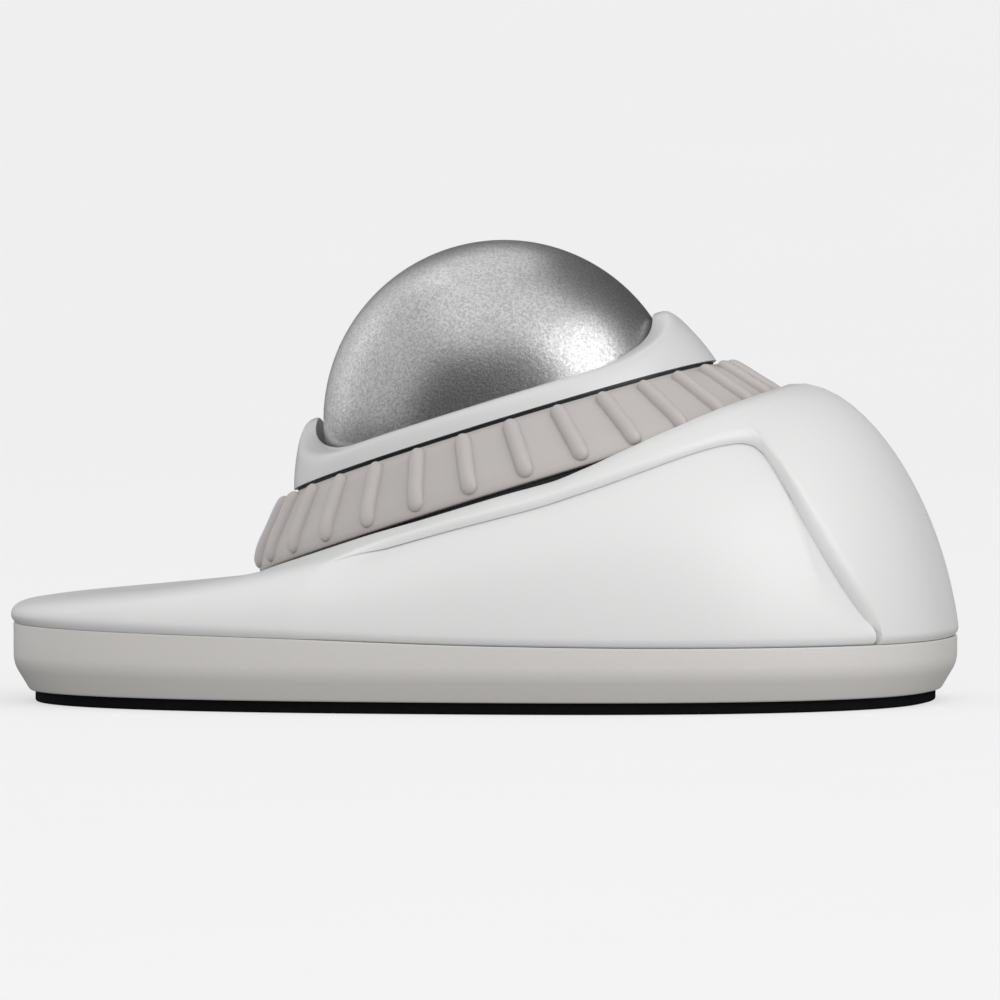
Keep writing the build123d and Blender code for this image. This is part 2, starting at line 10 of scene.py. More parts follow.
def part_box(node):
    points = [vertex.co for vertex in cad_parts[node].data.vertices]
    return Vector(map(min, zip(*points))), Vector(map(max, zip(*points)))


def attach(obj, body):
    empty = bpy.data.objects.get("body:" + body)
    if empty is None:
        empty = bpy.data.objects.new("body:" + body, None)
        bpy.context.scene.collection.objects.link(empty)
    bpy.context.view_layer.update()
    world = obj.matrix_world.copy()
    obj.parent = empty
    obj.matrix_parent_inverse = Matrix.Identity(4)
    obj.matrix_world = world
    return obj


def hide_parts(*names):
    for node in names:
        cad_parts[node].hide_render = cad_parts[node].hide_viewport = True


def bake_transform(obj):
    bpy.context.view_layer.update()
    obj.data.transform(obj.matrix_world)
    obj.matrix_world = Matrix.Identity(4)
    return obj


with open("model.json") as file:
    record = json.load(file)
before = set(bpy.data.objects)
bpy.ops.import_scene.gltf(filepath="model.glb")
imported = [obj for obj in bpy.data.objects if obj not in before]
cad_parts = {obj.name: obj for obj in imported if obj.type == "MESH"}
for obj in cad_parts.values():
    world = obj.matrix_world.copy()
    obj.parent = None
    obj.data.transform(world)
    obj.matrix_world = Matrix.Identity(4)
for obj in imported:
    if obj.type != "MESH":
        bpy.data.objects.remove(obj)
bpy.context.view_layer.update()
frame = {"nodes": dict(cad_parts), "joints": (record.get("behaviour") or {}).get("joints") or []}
scene = bpy.context.scene
nodes = frame["nodes"]
mm = 0.001
print("frame loaded")

joints = {joint["name"]: joint for joint in frame["joints"]}
ballCentre = Vector(joints["scroll_ring_spin"]["pos_m"])
ringAxis = Vector(joints["scroll_ring_spin"]["axis"]).normalized()
ringUp = Vector((0, ringAxis.z, -ringAxis.y))  # square to the axis, towards the back
ballLow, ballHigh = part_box("trackball_shell")
ballRadius = (ballHigh.z - ballLow.z) / 2 / mm


# small maths
def smooth(value, low, high):
    t = min(max((value - low) / (high - low), 0), 1)
    return t * t * (3 - 2 * t)


def easedTable(table, x):  # monotone cubic through the rows of a table
    if x <= table[0][0]:
        return table[0][1]
    if x >= table[-1][0]:
        return table[-1][1]
    slopes = [(b[1] - a[1]) / (b[0] - a[0]) for a, b in zip(table, table[1:])]
    grades = [slopes[0]]
    for a, b in zip(slopes, slopes[1:]):
        grades.append(0 if a * b <= 0 else 2 * a * b / (a + b))
    grades.append(slopes[-1])
    for n, ((x0, y0), (x1, y1)) in enumerate(zip(table, table[1:])):
        if x <= x1:
            w = x1 - x0
            t = (x - x0) / w
            rise = (3 - 2 * t) * t * t
            start = t * (1 - t) ** 2 * w * grades[n]
            end = t * t * (t - 1) * w * grades[n + 1]
            return y0 + (y1 - y0) * rise + start + end


def ringPoint(radius, turn, height):  # mm about the ball, in the ring's own plane
    across = Vector((math.cos(turn), 0, 0)) + ringUp * math.sin(turn)
    return ballCentre + (across * radius + ringAxis * height) * mm


filletShare = 0.48  # of the shorter side, at most


def filleted(corners, steps=5):  # closed profile, each corner (x, y, radius)
    count = len(corners)
    loop = []
    for n in range(count):
        x, y, radius = corners[n]
        here = Vector((x, y))
        back = Vector(corners[n - 1][:2]) - here
        on = Vector(corners[(n + 1) % count][:2]) - here
        if radius <= 0:
            loop.append(here)
            continue
        reach = min(radius, back.length * filletShare, on.length * filletShare)
        a = here + back.normalized() * reach
        b = here + on.normalized() * reach
        for step in range(steps + 1):
            t = step / steps
            loop.append(a * (1 - t) ** 2 + here * 2 * t * (1 - t) + b * t * t)
    return loop


# meshes
def makePiece(name, points, faces, recalc=True, sharpAngle=35):
    mesh = bpy.data.meshes.new(name)
    mesh.from_pydata([tuple(p) for p in points], [], faces)
    finishMesh(mesh, recalc, sharpAngle)
    piece = bpy.data.objects.new(name, mesh)
    scene.collection.objects.link(piece)
    return piece


def finishMesh(mesh, recalc=True, sharpAngle=35):
    work = bmesh.new()
    work.from_mesh(mesh)
    bmesh.ops.remove_doubles(work, verts=work.verts, dist=1e-6)
    bmesh.ops.dissolve_degenerate(work, edges=work.edges, dist=1e-7)
    if recalc:
        bmesh.ops.recalc_face_normals(work, faces=work.faces)
    for face in work.faces:
        face.smooth = True
    work.to_mesh(mesh)
    work.free()
    mesh.set_sharp_from_angle(angle=math.radians(sharpAngle))
    mesh.update()


def skin(loops, closed):  # faces between rings of points
    size = len(loops[0])
    count = len(loops)
    faces = []
    for a in range(count if closed else count - 1):
        here, on = a * size, (a + 1) % count * size
        for c in range(size):
            d = (c + 1) % size
            faces.append((here + c, on + c, on + d, here + d))
    if not closed:
        faces.append(tuple(range(size)))
        faces.append(tuple((count - 1) * size + n for n in reversed(range(size))))
    return faces


def loopSolid(name, loops, closed=True, sharpAngle=35):
    points = [p for loop in loops for p in loop]
    return makePiece(name, points, skin(loops, closed), sharpAngle=sharpAngle)


# geometry nodes
def nodeTree(name, inputs):
    tree = bpy.data.node_groups.new(name, "GeometryNodeTree")
    for label, kind in inputs:
        tree.interface.new_socket(label, in_out="INPUT", socket_type=kind)
    tree.interface.new_socket("Geometry", in_out="OUTPUT", socket_type="NodeSocketGeometry")
    return tree, tree.nodes.new("NodeGroupInput"), tree.nodes.new("NodeGroupOutput")


def grow(name, tree, host, values):  # evaluated to one plain mesh
    holder = bpy.data.objects.new(name + "Host", host)
    scene.collection.objects.link(holder)
    modifier = holder.modifiers.new("Grow", "NODES")
    modifier.node_group = tree
    for item in tree.interface.items_tree:
        if item.in_out == "INPUT" and item.name in values:
            modifier[item.identifier] = values[item.name]
    bpy.context.view_layer.update()
    graph = bpy.context.evaluated_depsgraph_get()
    mesh = bpy.data.meshes.new_from_object(holder.evaluated_get(graph), depsgraph=graph)
    holder.modifiers.remove(modifier)
    bpy.data.objects.remove(holder)
    mesh.name = name
    piece = bpy.data.objects.new(name, mesh)
    scene.collection.objects.link(piece)
    return piece


def endTree(tree, shape, output, group):
    realize = tree.nodes.new("GeometryNodeRealizeInstances")
    paint = tree.nodes.new("GeometryNodeSetMaterial")
    tree.links.new(shape, realize.inputs[0])
    tree.links.new(realize.outputs[0], paint.inputs["Geometry"])
    tree.links.new(group.outputs["Material"], paint.inputs["Material"])
    tree.links.new(paint.outputs[0], output.inputs[0])


def turnedTree():  # copies of one object, turned about the axis
    tree, group, output = nodeTree(
        "turnedCopies",
        [("Count", "NodeSocketInt"), ("Shape", "NodeSocketObject"), ("Material", "NodeSocketMaterial")],
    )
    line = tree.nodes.new("GeometryNodeMeshLine")
    line.inputs["Offset"].default_value = (0, 0, 0)
    info = tree.nodes.new("GeometryNodeObjectInfo")
    index = tree.nodes.new("GeometryNodeInputIndex")
    share = tree.nodes.new("ShaderNodeMath")
    share.operation = "DIVIDE"
    turn = tree.nodes.new("ShaderNodeMath")
    turn.operation = "MULTIPLY"
    turn.inputs[1].default_value = math.tau
    spin = tree.nodes.new("ShaderNodeCombineXYZ")
    copies = tree.nodes.new("GeometryNodeInstanceOnPoints")
    tree.links.new(group.outputs["Count"], line.inputs["Count"])
    tree.links.new(group.outputs["Shape"], info.inputs["Object"])
    tree.links.new(index.outputs[0], share.inputs[0])
    tree.links.new(group.outputs["Count"], share.inputs[1])
    tree.links.new(share.outputs[0], turn.inputs[0])
    tree.links.new(turn.outputs[0], spin.inputs[2])
    tree.links.new(line.outputs[0], copies.inputs["Points"])
    tree.links.new(info.outputs["Geometry"], copies.inputs["Instance"])
    tree.links.new(spin.outputs[0], copies.inputs["Rotation"])
    endTree(tree, copies.outputs[0], output, group)
    return tree


def placedTree():  # copies of one object on the host's points
    tree, group, output = nodeTree(
        "placedCopies",
        [("Places", "NodeSocketGeometry"), ("Shape", "NodeSocketObject"), ("Material", "NodeSocketMaterial")],
    )
    info = tree.nodes.new("GeometryNodeObjectInfo")
    copies = tree.nodes.new("GeometryNodeInstanceOnPoints")
    tree.links.new(group.outputs["Shape"], info.inputs["Object"])
    tree.links.new(group.outputs["Places"], copies.inputs["Points"])
    tree.links.new(info.outputs["Geometry"], copies.inputs["Instance"])
    endTree(tree, copies.outputs[0], output, group)
    return tree


def coilTree():  # round wire wound in a cone
    sizes = ["Turns", "Start Radius", "End Radius", "Height", "Wire Radius"]
    tree, group, output = nodeTree(
        "coil", [(size, "NodeSocketFloat") for size in sizes] + [("Material", "NodeSocketMaterial")]
    )
    spiral = tree.nodes.new("GeometryNodeCurveSpiral")
    spiral.inputs["Resolution"].default_value = 40
    wire = tree.nodes.new("GeometryNodeCurvePrimitiveCircle")
    wire.inputs["Resolution"].default_value = 10
    tube = tree.nodes.new("GeometryNodeCurveToMesh")
    tube.inputs["Fill Caps"].default_value = True
    tree.links.new(group.outputs["Turns"], spiral.inputs["Rotations"])
    for size in sizes[1:4]:
        tree.links.new(group.outputs[size], spiral.inputs[size])
    tree.links.new(group.outputs["Wire Radius"], wire.inputs["Radius"])
    tree.links.new(spiral.outputs[0], tube.inputs["Curve"])
    tree.links.new(wire.outputs[0], tube.inputs["Profile Curve"])
    endTree(tree, tube.outputs[0], output, group)
    return tree


# shader wiring
class Wire:
    def __init__(self, paint, socket):
        self.paint = paint
        self.socket = socket

    def math(self, operation, *others):
        values = {n: other for n, other in enumerate((self,) + others)}
        return self.paint.node("ShaderNodeMath", {"operation": operation}, values)

    def __add__(self, other):
        return self.math("ADD", other)

    def __sub__(self, other):
        return self.math("SUBTRACT", other)

    def __mul__(self, other):
        return self.math("MULTIPLY", other)

    def __rsub__(self, other):
        return self.paint.node("ShaderNodeMath", {"operation": "SUBTRACT"}, {0: other, 1: self})

    __radd__ = __add__
    __rmul__ = __mul__


class Paint:
    def __init__(self, name):
        self.material = bpy.data.materials.new(name)
        self.material.use_nodes = True
        self.tree = self.material.node_tree
        self.tree.nodes.clear()
        self.place = self.node("ShaderNodeTexCoord", out="Object")

    def node(self, kind, settings=None, values=None, out=0):
        made = self.tree.nodes.new(kind)
        for key, value in (settings or {}).items():
            if key == "stops":
                stops = made.color_ramp.elements
                while len(stops) < len(value):
                    stops.new(1)
                for stop, (at, tone) in zip(stops, value):
                    stop.position = at
                    stop.color = (tone, tone, tone, 1)
            else:
                setattr(made, key, value)
        for key, value in (values or {}).items():
            if isinstance(value, Wire):
                self.tree.links.new(value.socket, made.inputs[key])
            else:
                made.inputs[key].default_value = value
        return Wire(self, made.outputs[out]) if made.outputs else None

    def noise(self, scale, detail=3, rough=0.5, at=None):
        values = {"Vector": at or self.place, "Scale": scale, "Detail": detail, "Roughness": rough}
        return self.node("ShaderNodeTexNoise", None, values)

    def ramp(self, wire, *stops):
        return self.node("ShaderNodeValToRGB", {"stops": stops}, {0: wire})

    def mix(self, factor, one, other):
        return self.node("ShaderNodeMix", {"data_type": "RGBA"}, {0: factor, 6: one, 7: other}, 2)

    def bump(self, height, depth):
        return self.node("ShaderNodeBump", None, {"Height": height, "Distance": depth, "Strength": 1})

    def finish(self, values):
        surface = self.node("ShaderNodeBsdfPrincipled", None, values)
        self.node("ShaderNodeOutputMaterial", None, {0: surface})
        return self.material


def colour(red, green, blue):
    return (red, green, blue, 1)


plasticGrain = {"clouds": 38, "fine": 5200, "specks": 2100, "depth": 0.006}


def mouldedPlastic(name, tone, shade, rough):
    paint = Paint(name)
    clouds = paint.noise(plasticGrain["clouds"], 3)
    fine = paint.noise(plasticGrain["fine"], 2, 0.6)
    specks = paint.ramp(paint.noise(plasticGrain["specks"], 1), (0.3, 0), (0.72, 1))
    body = paint.mix(clouds * 0.55 + specks * 0.25, tone, shade)
    return paint.finish({
        "Base Color": body,
        "Roughness": clouds * 0.08 + fine * 0.06 + (rough - 0.07),
        "IOR": 1.47,
        "Normal": paint.bump(fine + clouds * 0.4, plasticGrain["depth"] * mm),
    })


plasticTones = {  # tone, shade, roughness
    "shellWhite": (colour(0.765, 0.764, 0.761), colour(0.745, 0.744, 0.741), 0.38),
    "collarWhite": (colour(0.68, 0.68, 0.678), colour(0.655, 0.655, 0.653), 0.32),
    "bandGrey": (colour(0.69, 0.668, 0.645), colour(0.655, 0.634, 0.61), 0.42),
    "trayGrey": (colour(0.40, 0.385, 0.37), colour(0.375, 0.36, 0.345), 0.5),
    "ringGrey": (colour(0.50, 0.47, 0.452), colour(0.475, 0.445, 0.428), 0.44),
    "knobGrey": (colour(0.30, 0.285, 0.27), colour(0.275, 0.26, 0.25), 0.45),
    "cupBlack": (colour(0.03, 0.03, 0.031), colour(0.022, 0.022, 0.023), 0.4),
    "capBlack": (colour(0.028, 0.028, 0.03), colour(0.02, 0.02, 0.021), 0.34),
    "chipBlack": (colour(0.035, 0.035, 0.037), colour(0.026, 0.026, 0.028), 0.55),
    "coreResin": (colour(0.09, 0.09, 0.1), colour(0.07, 0.07, 0.078), 0.5),
    "plungerRed": (colour(0.55, 0.05, 0.04), colour(0.48, 0.04, 0.03), 0.3),
}
paints = {name: mouldedPlastic(name, *tones) for name, tones in plasticTones.items()}


def rubberPaint():
    paint = Paint("stripRubber")
    dust = paint.noise(900, 4, 0.65)
    body = paint.mix(dust, colour(0.004, 0.004, 0.004), colour(0.009, 0.009, 0.009))
    return paint.finish({
        "Base Color": body,
        "Roughness": dust * 0.2 + 0.7,
        "Specular IOR Level": 0.04,
        "Normal": paint.bump(paint.noise(3800, 2), 0.015 * mm),
    })


ballFinish = {
    "flakes": 5200,
    "blots": 2200,
    "dark": colour(0.50, 0.50, 0.502),
    "bright": colour(0.77, 0.77, 0.772),
    "relief": 0.03,
}


def ballPaint():
    s = ballFinish
    paint = Paint("ballSilver")
    flakes = paint.node("ShaderNodeTexVoronoi", None, {"Vector": paint.place, "Scale": s["flakes"]}, "Color")
    flake = paint.node("ShaderNodeSeparateColor", None, {0: flakes})
    blot = paint.noise(s["blots"], 3, 0.65)
    sparkle = paint.ramp(flake * 0.45 + blot * 0.55, (0.25, 0), (0.75, 1))
    body = paint.mix(sparkle, s["dark"], s["bright"])
    return paint.finish({
        "Base Color": body,
        "Metallic": 0.95,
        "Roughness": 0.40 - sparkle * 0.08,
        "Coat Weight": 0.12,
        "Coat Roughness": 0.2,
        "Normal": paint.bump(sparkle, s["relief"] * mm),
    })


def metalPaint(name, tone, rough, stretch=1):
    paint = Paint(name)
    along = paint.node("ShaderNodeMapping", None, {"Vector": paint.place, "Scale": (1, 1, stretch)})
    marks = paint.noise(1800, 4, 0.6, along)
    worn = paint.noise(260, 3)
    body = paint.mix(marks * 0.6 + worn * 0.4, tone, tuple(c * 0.82 for c in tone[:3]) + (1,))
    return paint.finish({
        "Base Color": body,
        "Metallic": 1.0,
        "Roughness": marks * 0.16 + worn * 0.1 + (rough - 0.13),
        "Normal": paint.bump(marks, 0.006 * mm),
    })


def boardPaint():
    paint = Paint("boardGreen")
    turned = paint.node("ShaderNodeMapping", None, {"Vector": paint.place, "Rotation": (0, 0, 0.785)})
    lanes = paint.node("ShaderNodeTexWave", {"wave_type": "BANDS"}, {"Vector": turned, "Scale": 260})
    values = {"Vector": paint.place, "Scale": 150}
    cells = paint.node("ShaderNodeTexVoronoi", {"distance": "CHEBYCHEV"}, values)
    tracks = paint.ramp(lanes, (0.55, 0), (0.6, 1)) * paint.ramp(cells, (0.3, 1), (0.34, 0))
    body = paint.mix(tracks, colour(0.012, 0.10, 0.045), colour(0.02, 0.17, 0.075))
    return paint.finish({
        "Base Color": body,
        "Roughness": 0.34 + tracks * 0.08,
        "Coat Weight": 0.3,
        "Normal": paint.bump(tracks, 0.03 * mm),
    })


def lensPaint():
    paint = Paint("clearLens")
    haze = paint.noise(700, 2)
    return paint.finish({
        "Base Color": paint.mix(haze, colour(0.86, 0.91, 0.93), colour(0.78, 0.85, 0.88)),
        "Roughness": haze * 0.08 + 0.04,
        "Alpha": haze * 0.1 + 0.4,
        "IOR": 1.5,
    })


def cellPaint():
    paint = Paint("batteryJacket")
    parts = paint.node("ShaderNodeSeparateXYZ", None, {0: paint.place})
    copper = paint.ramp(parts * 20 + 0.5, (0.80, 0), (0.81, 1))
    scuffs = paint.noise(420, 4, 0.6)
    body = paint.mix(copper, colour(0.05, 0.055, 0.065), colour(0.52, 0.29, 0.14))
    return paint.finish({
        "Base Color": paint.mix(scuffs * 0.25, body, colour(0.12, 0.12, 0.13)),
        "Metallic": copper * 0.6 + 0.3,
        "Roughness": scuffs * 0.12 + 0.24,
        "Coat Weight": 0.4,
        "Normal": paint.bump(scuffs, 0.01 * mm),
    })


paints["stripRubber"] = rubberPaint()
paints["ballSilver"] = ballPaint()
paints["bearingSteel"] = metalPaint("bearingSteel", colour(0.72, 0.72, 0.74), 0.2)
paints["tinnedSheet"] = metalPaint("tinnedSheet", colour(0.62, 0.62, 0.61), 0.34, 4)
paints["zincScrew"] = metalPaint("zincScrew", colour(0.56, 0.56, 0.57), 0.36)
paints["springWire"] = metalPaint("springWire", colour(0.66, 0.65, 0.63), 0.28)
paints["boardGreen"] = boardPaint()
paints["clearLens"] = lensPaint()
paints["batteryJacket"] = cellPaint()

cadFinish = {  # nodes shown as they are
    "base_tray": "trayGrey",
    "ball_cup": "cupBlack",
    "support_bearings": "bearingSteel",
    "main_board": "boardGreen",
    "controller_chip": "chipBlack",
    "radio_module": "tinnedSheet",
    "sensor_chip": "chipBlack",
    "sensor_lens": "clearLens",
    "sensor_led": "clearLens",
    "left_switch": "chipBlack",
    "right_switch": "chipBlack",
    "left_plunger": "plungerRed",
    "right_plunger": "plungerRed",
    "ring_light_gate": "chipBlack",
    "power_switch": "tinnedSheet",
    "connect_dome": "tinnedSheet",
    "battery": "batteryJacket",
    "battery_contacts": "tinnedSheet",
    "trackball_core": "coreResin",
    "ring_code_skirt": "cupBlack",
    "battery_door": "trayGrey",
    "receiver_cap": "capBlack",
    "receiver_plug": "tinnedSheet",
    "power_slider": "knobGrey",
    "connect_button": "knobGrey",
}
for nodeName, paintName in cadFinish.items():
    nodes[nodeName].data.materials.clear()
    nodes[nodeName].data.materials.append(paints[paintName])


def dress(piece, paintName, body, slot, *stoodFor):
    piece.data.materials.clear()
    piece.data.materials.append(paints[paintName])
    if body:
        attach(piece, body)
    if stoodFor:
        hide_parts(*stoodFor)


print("finishes mixed")

# ball
ballShape = {"segments": 192, "rings": 96}


def buildBall():
    mesh = bpy.data.meshes.new("trackball")
    work = bmesh.new()
    bmesh.ops.create_uvsphere(
        work, u_segments=ballShape["segments"], v_segments=ballShape["rings"], radius=ballRadius * mm
    )
    bmesh.ops.translate(work, verts=work.verts, vec=ballCentre)
    work.to_mesh(mesh)
    work.free()
    finishMesh(mesh)
    piece = bpy.data.objects.new("trackball", mesh)
    scene.collection.objects.link(piece)
    dress(piece, "ballSilver", "ball", "ball_silver", "trackball_shell")


buildBall()
print("ball turned")

# collar
collarShape = {
    "bore": 20.5,
    "sleeve": 23.7,
    "bottom": -10.35,
    "footRadius": 24.25,
    "footLevel": -0.6,
    "wallStart": 24.3,
    "wallLean": 0.32,
    "wallCurve": 0.028,
    "rim": (  # height by degrees from the sides to an ear
        (0, 1.7), (40, 1.75), (50, 2.05), (60, 2.75), (66, 3.25),
        (72, 3.9), (78, 4.7), (83, 5.5), (87, 6.1), (90, 6.3),
    ),
    "frontRise": 0.2,
    "flare": 0.35,
    "insideDrop": 0.35,
    "lipDrop": 1.5,
    "lipInset": 0.3,
    "lipPull": 1.3,
    "lipFullness": 0.75,
    "steps": {"inside": 6, "lip": 10, "wall": 5},
    "columns": 288,
}


def collarWall(level):
    s = collarShape
    return s["wallStart"] - s["wallLean"] * level - s["wallCurve"] * level * level


def collarInside(level, turn):  # close to the ball, opening at the top of the front ear
    flare = collarShape["flare"] * smooth(level, 2.2, 5.6) * smooth(-math.sin(turn), 0.6, 0.95)
    return math.sqrt(collarShape["bore"] ** 2 - max(level, 0) ** 2) + flare


def buildCollar():
    s = collarShape
    insideSteps, lipSteps, wallSteps = s["steps"]["inside"], s["steps"]["lip"], s["steps"]["wall"]
    loops = []
    for column in range(s["columns"]):
        turn = math.tau * column / s["columns"]
        side = math.degrees(math.asin(min(abs(math.sin(turn)), 1)))
        rim = easedTable(s["rim"], side) + s["frontRise"] * smooth(-math.sin(turn), 0.85, 0.99)
        low = rim - s["lipDrop"]
        profile = [(s["bore"], s["bottom"] + 0.2), (s["bore"], -5), (s["bore"], -1)]
        for step in range(insideSteps + 1):
            level = (rim - s["insideDrop"]) * step / insideSteps
            profile.append((collarInside(level, turn), level))
        inner = collarInside(rim, turn)
        profile.append((inner + 0.08, rim - 0.1))
        start = Vector((inner + s["lipInset"], rim))
        end = Vector((collarWall(low), low))
        lean = s["wallLean"] + 2 * s["wallCurve"] * low
        pull = Vector((-lean, 1)).normalized() * s["lipPull"]
        reach = (end.x - start.x) * s["lipFullness"]
        for step in range(lipSteps + 1):
            t = step / lipSteps
            a, b = (1 - t) ** 3, 3 * t * (1 - t) ** 2
            c, d = 3 * t * t * (1 - t), t ** 3
            spot = start * a + (start + Vector((reach, 0.05))) * b + (end + pull) * c + end * d
            profile.append((spot.x, spot.y))
        for step in range(1, wallSteps + 1):
            level = low + (s["footLevel"] + 0.12 - low) * step / wallSteps
            profile.append((collarWall(level), level))
        profile += [
            (s["footRadius"] + 0.22, s["footLevel"] + 0.03),
            (s["footRadius"] + 0.08, s["footLevel"]),
            (s["sleeve"] + 0.1, s["footLevel"]),
            (s["sleeve"], s["footLevel"] - 0.1),
            (s["sleeve"], -5),
            (s["sleeve"], s["bottom"] + 0.2),
            (s["sleeve"] - 0.2, s["bottom"]),
            (s["bore"] + 0.2, s["bottom"]),
        ]
        loops.append([ringPoint(r, turn, v) for r, v in profile])
    piece = loopSolid("ballCollar", loops, sharpAngle=50)
    dress(piece, "collarWhite", "housing", "white_plastic", "ball_collar")


buildCollar()
print("collar raised")

# scroll ring with its ribs
ringShape = {
    "profile": (
        (23.8, -1.9, 0.15), (24.15, -1.15, 0.2), (24.5, -1.0, 0.3), (26.0, -1.75, 1.0), (26.9, -2.7, 1.2),
        (30.1, -6.4, 1.6), (30.72, -7.8, 0.6), (30.72, -8.37, 0.25), (29.6, -8.52, 0.1), (29.0, -8.3, 0.2),
        (25.3, -4.2, 0.2), (25.3, -10.1, 0.2), (23.8, -10.1, 0.2),
    ),
    # black sleeve under the ring's lower edge: painted shade, a dark piece that makes the gap there read
    # black
    "gapShadeCarrier": ((29.1, -8.4, 0), (30.05, -8.6, 0), (30.05, -10.1, 0.1), (29.1, -10.1, 0.1)),
    # black lining in the gap at the ring's bore: painted shade, a dark piece seen as black through the gap
    "gapShadeLiner": (
        (23.62, -0.66, 0), (24.05, -0.66, 0), (24.05, -0.98, 0), (23.78, -1.5, 0), (23.62, -1.5, 0),
    ),
    "columns": 240,
    "ribs": 30,
    "ribRun": (  # down the ring's face
        (25.35, -1.45), (25.95, -1.74), (26.6, -2.35), (28.3, -4.3),
        (29.8, -6.03), (30.35, -7.1), (30.55, -7.9),
    ),
    "ribHalfWidth": 0.95,
    "ribHeight": 0.85,
    "ribSink": 0.4,
    "ribSteps": 20,
    "ribAcross": 6,
}


def ribMesh():
    s = ringShape
    run = [Vector(p) for p in s["ribRun"]]
    lengths = [0]
    for a, b in zip(run, run[1:]):
        lengths.append(lengths[-1] + (b - a).length)
    whole = lengths[-1]
    half = s["ribHalfWidth"]
    byR = [(at, p.x) for at, p in zip(lengths, run)]
    byV = [(at, p.y) for at, p in zip(lengths, run)]

    def spotAt(along):
        inside = min(max(along, 0), whole)
        return Vector((easedTable(byR, inside), easedTable(byV, inside)))

    def at(along):
        near = 0.05
        way = (spotAt(along + near) - spotAt(along - near)).normalized()
        return spotAt(along), Vector((-way.y, way.x))

    loops = []
    for step in range(s["ribSteps"] + 1):
        along = whole / 2 - whole / 2 * math.cos(math.pi * step / s["ribSteps"])
        past = 0
        if along < half:
            past = half - along
        if along > whole - half:
            past = along - (whole - half)
        width = math.sqrt(max(half * half - past * past, 0))
        spot, outward = at(along)
        top, bottom = [], []
        for n in range(-s["ribAcross"], s["ribAcross"] + 1):
            across = width * math.sin(math.pi / 2 * n / s["ribAcross"])
            share = 1 - (across * across + past * past) / (half * half)
            rise = s["ribHeight"] * math.sqrt(max(share, 0))
            high = spot + outward * rise
            deep = spot - outward * s["ribSink"]
            top.append(Vector((high.x, across, high.y)) * mm)
            bottom.append(Vector((deep.x, across, deep.y)) * mm)
        loops.append(top + bottom[::-1])
    return loops


def lathe(name, corners):
    profile = filleted(corners)
    loops = []
    for column in range(ringShape["columns"]):
        turn = math.tau * column / ringShape["columns"]
        loops.append([ringPoint(p.x, turn, p.y) for p in profile])
    return loopSolid(name, loops, sharpAngle=50)


def buildRing():
    s = ringShape
    dress(lathe("scrollRing", s["profile"]), "ringGrey", "ring", "ring_grey", "scroll_ring")
    # black sleeve under the ring: painted shade, so the gap below the ring shows black
    dress(lathe("skirtCarrier", s["gapShadeCarrier"]), "cupBlack", "ring", "black_plastic", "scroll_ring")
    # black lining at the ring's bore: painted shade, a dark piece seen as black through the gap
    dress(lathe("slipLiner", s["gapShadeLiner"]), "cupBlack", "housing", "black_plastic")
    rib = loopSolid("ringRib", ribMesh(), closed=False, sharpAngle=60)
    values = {"Count": s["ribs"], "Shape": rib, "Material": paints["ringGrey"]}
    ribs = grow("ringRibs", turnedTree(), bpy.data.meshes.new("ribHost"), values)
    bpy.data.objects.remove(rib)
    place = Matrix.Identity(4)
    for n, way in enumerate((Vector((1, 0, 0)), ringUp, ringAxis, ballCentre)):
        for row in range(3):
            place[row][n] = way[row]
    ribs.data.transform(place)
    finishMesh(ribs.data, sharpAngle=60)
    dress(ribs, "ringGrey", "ring", "ring_grey", "scroll_ring")


buildRing()
print("scroll ring ribbed")

# upper shell and its two flexing buttons
shellShape = {
    "columns": 480,
    "wellRadius": 31.3,
    "wellWall": 32.7,
    "wellCorner": 0.6,
    "wellDepth": 3.5,
    "wellEdge": (  # height along the ring's axis, by degrees up to the back
        (-90, -8.45), (-62, -8.45), (-37, -8.6), (-24, -8.64), (-11, -8.85), (6, -8.95),
        (16, -9.1), (23, -8.75), (32, -8.05), (40, -7.45), (60, -6.35), (90, -5.6),
    ),
    "front": {"lean": 25, "reach": 9.0, "foot": 60, "footReach": 3.5},
    "side": {"lean": 20, "reach": 5.5, "foot": 82, "footReach": 9.0},
    "back": {"lean": -11, "reach": 7.0, "foot": 82, "footReach": 16.0},
    "seam": ((-52, 8.75), (-16, 8.14), (7.6, 7.47), (29, 7.2), (52, 7.14)),  # height along the body
    "rollDrop": 0.14,
    "rollRadius": 1.1,
    "halfWidth": 42.5,
    "halfLength": 52.0,
    "squareness": 2.5,
    "thickness": 2.0,
    "panelThickness": 1.6,
    "stepLine": (  # height of the button's edge along the body
        (-18, 12.6), (-9.9, 16.35), (-8.2, 17.2), (-6, 18.1), (-1.7, 19.35), (2.4, 20.45),
        (8.1, 21.9), (11.9, 22.9), (15.6, 24.1), (19.4, 25.4), (23.1, 26.8), (26.6, 28.15),
        (29.8, 29.3), (31.5, 29.75), (33.0, 29.95), (34.2, 29.75), (35.3, 29.1), (36.4, 28.0),
        (37.9, 26.0), (40.5, 21.6), (48.7, 7.3), (60, -12),
    ),
    "root": -33.0,
    "sideStep": 1.0,
    "backStep": 0.35,
    "stepFade": 0.8,  # share lost by the foot of the button
    "lipWidth": (1.25, 1.95),
    "lipGap": 0.1,
    "tuck": 1.0,
}
samples = 160  # along each column
deckRows, panelRows, rollRows = 18, 26, 8


def skirtPoint(turn, level):
    s = shellShape
    across, along = math.cos(turn), math.sin(turn)
    power = s["squareness"]
    reach = (abs(across / s["halfWidth"]) ** power + abs(along / s["halfLength"]) ** power) ** (-1 / power)
    return Vector((reach * across, reach * along, level))


def between(key, turn):
    s = shellShape
    front, side, back = s["front"][key], s["side"][key], s["back"][key]
    up = math.sin(turn)
    return side + (back - front) / 2 * up + ((front + back) / 2 - side) * up * up


